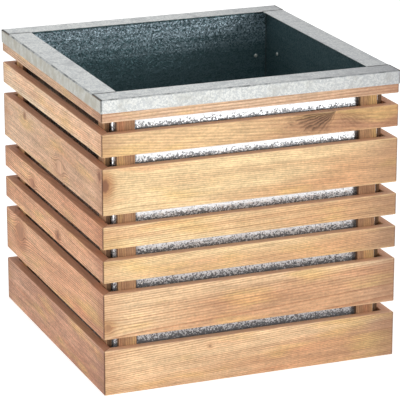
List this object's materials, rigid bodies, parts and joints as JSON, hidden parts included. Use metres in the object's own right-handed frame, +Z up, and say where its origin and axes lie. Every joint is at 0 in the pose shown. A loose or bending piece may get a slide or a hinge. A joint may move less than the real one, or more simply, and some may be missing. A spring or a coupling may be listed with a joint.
{
  "type": "planter box",
  "caption": "Square planter box of horizontal mitred larch slats on upright battens, with a lift-out galvanised sheet liner and a flat folded rim.",
  "frame": {"origin": "on the ground, under the middle of the box", "axes": "+Z up, -Y out of the front side, +X to the right as seen from the front"},
  "size_m": [0.5022, 0.5022, 0.4799],
  "materials": {
    "larch": "planed larch, oiled, fine horizontal grain",
    "batten_wood": "planed softwood, unfinished",
    "liner_zinc": "galvanised sheet with a fine mottled spangle",
    "rim_zinc": "galvanised sheet, pale and matt, with a mottled spangle"
  },
  "bodies": {
    "frame": {"front_slat_1": "larch", "front_slat_2": "larch", "front_slat_3": "larch", "front_slat_4": "larch", "front_slat_5": "larch", "front_slat_6": "larch", "front_slat_7": "larch", "right_slat_1": "larch", "right_slat_2": "larch", "right_slat_3": "larch", "right_slat_4": "larch", "right_slat_5": "larch", "right_slat_6": "larch", "right_slat_7": "larch", "back_slat_1": "larch", "back_slat_2": "larch", "back_slat_3": "larch", "back_slat_4": "larch", "back_slat_5": "larch", "back_slat_6": "larch", "back_slat_7": "larch", "left_slat_1": "larch", "left_slat_2": "larch", "left_slat_3": "larch", "left_slat_4": "larch", "left_slat_5": "larch", "left_slat_6": "larch", "left_slat_7": "larch", "front_batten_left": "batten_wood", "front_batten_right": "batten_wood", "right_batten_left": "batten_wood", "right_batten_right": "batten_wood", "back_batten_left": "batten_wood", "back_batten_right": "batten_wood", "left_batten_left": "batten_wood", "left_batten_right": "batten_wood", "front_ledger": "batten_wood", "back_ledger": "batten_wood", "floor_board_1": "batten_wood", "floor_board_2": "batten_wood", "floor_board_3": "batten_wood", "floor_board_4": "batten_wood"},
    "liner": {"liner_wall_front": "liner_zinc", "liner_wall_right": "liner_zinc", "liner_wall_back": "liner_zinc", "liner_wall_left": "liner_zinc", "liner_floor": "liner_zinc", "rim_front": "rim_zinc", "rim_right": "rim_zinc", "rim_back": "rim_zinc", "rim_left": "rim_zinc"}
  },
  "joints": [
    {"name": "liner_lift", "type": "slide", "parent": "frame", "child": "liner", "axis": [0, 0, 1], "range_m": [0, 0.45]}
  ]
}
